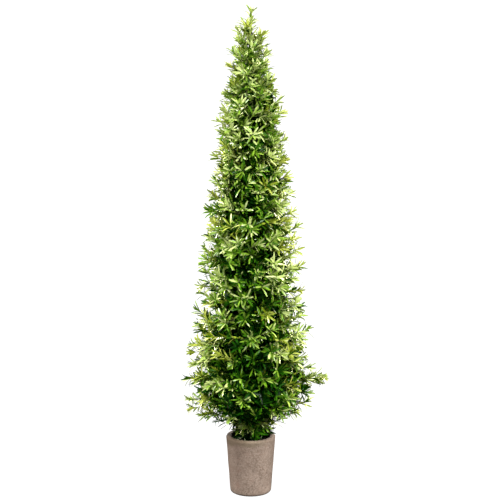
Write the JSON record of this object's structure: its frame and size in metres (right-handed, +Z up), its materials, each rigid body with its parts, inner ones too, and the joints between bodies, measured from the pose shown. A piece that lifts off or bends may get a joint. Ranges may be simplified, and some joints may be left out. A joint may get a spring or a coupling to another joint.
{
  "type": "potted podocarpus cone topiary",
  "caption": "Tall slim cone of strap-leaved evergreen foliage round one upright trunk, planted in a small tapered stone-coloured pot that stands on the floor.",
  "frame": {"origin": "centre of the pot's flat underside", "axes": "+Z up along the trunk, -Y towards the front that the picture shows, +X to the right in the picture"},
  "size_m": [0.4617, 0.4085, 1.5238],
  "materials": {
    "stoneware": "matt, mottled, unglazed",
    "earth": "matt, crumbly",
    "bark": "ridged brown-green bark",
    "foliage": "satin leaves from lime to dark green"
  },
  "bodies": {
    "root": {"pot": "stoneware", "earth": "earth", "trunk": "bark", "foliage_foot_1": "foliage", "foliage_foot_2": "foliage", "foliage_foot_3": "foliage", "foliage_01": "foliage", "foliage_02": "foliage", "foliage_03": "foliage", "foliage_04": "foliage", "foliage_05": "foliage", "foliage_06": "foliage", "foliage_07": "foliage", "foliage_08": "foliage", "foliage_09": "foliage", "foliage_10": "foliage", "foliage_11": "foliage", "foliage_12": "foliage", "foliage_13": "foliage", "foliage_14": "foliage", "foliage_15": "foliage", "foliage_16": "foliage", "foliage_17": "foliage", "foliage_18": "foliage", "foliage_19": "foliage", "foliage_20": "foliage", "foliage_leader": "foliage"}
  },
  "joints": []
}
